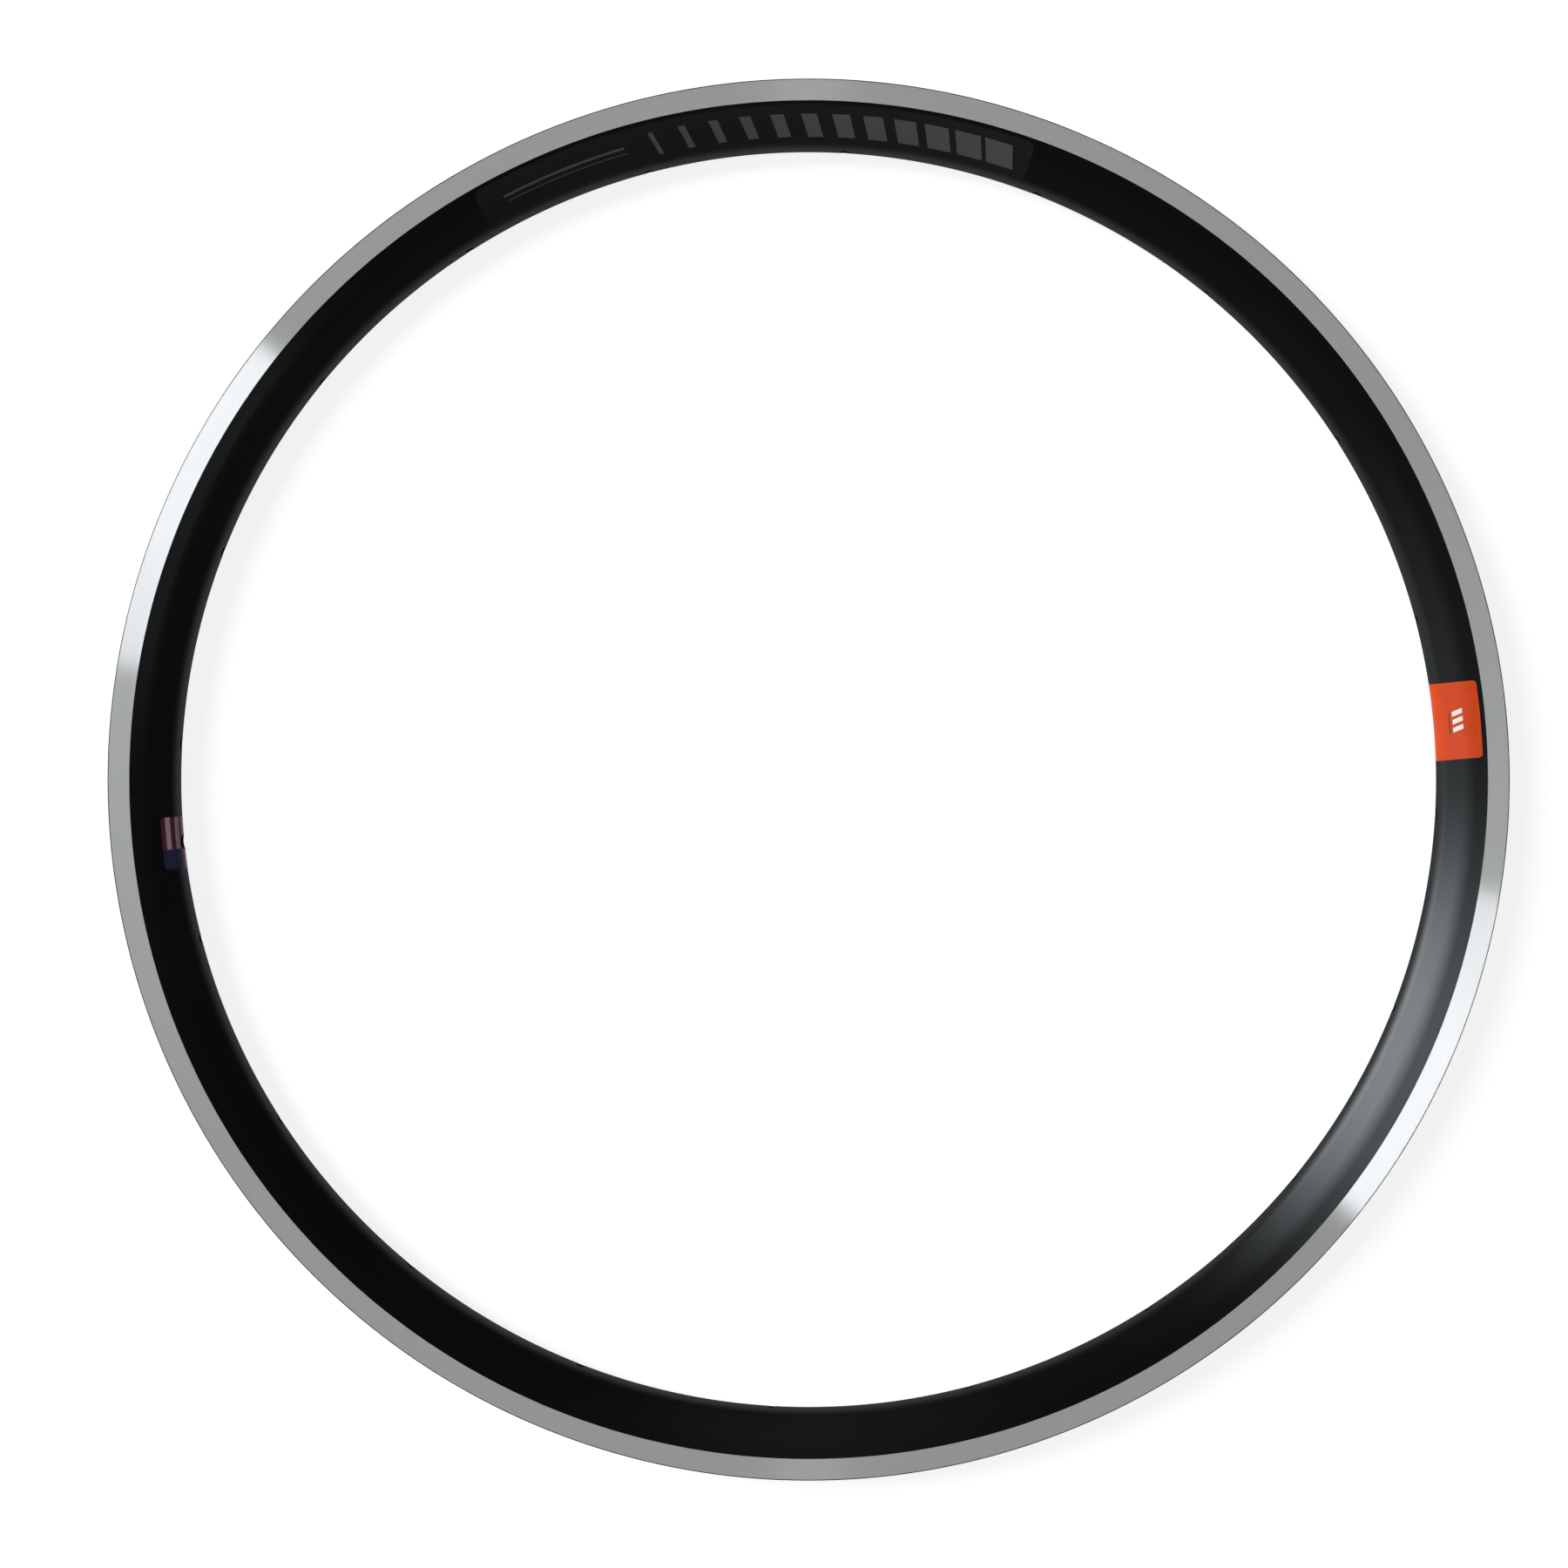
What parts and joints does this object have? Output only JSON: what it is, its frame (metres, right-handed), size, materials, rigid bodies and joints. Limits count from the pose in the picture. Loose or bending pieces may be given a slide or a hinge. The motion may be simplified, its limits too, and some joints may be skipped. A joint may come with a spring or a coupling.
{
  "type": "bicycle rim",
  "caption": "Hollow aluminium bicycle rim for a hooked tyre and rim brakes: black body, machined brake tracks, drilled spoke and valve holes, and plain coloured labels.",
  "frame": {"origin": "centre of the wheel, in the rim's middle plane", "axes": "+Z along the wheel's axis, towards the side with the dark decal, and the valve hole near -X"},
  "size_m": [0.6339, 0.634, 0.024],
  "materials": {
    "anodised_aluminium": "satin black anodised, with both brake tracks machined bright",
    "dark_film": "satin printed film",
    "orange_film": "satin printed film",
    "striped_film": "satin printed film in red and off-white stripes with a dark blue block"
  },
  "bodies": {
    "root": {"rim": "anodised_aluminium", "side_decal": "dark_film", "joint_label": "orange_film", "valve_label": "striped_film"}
  },
  "joints": []
}
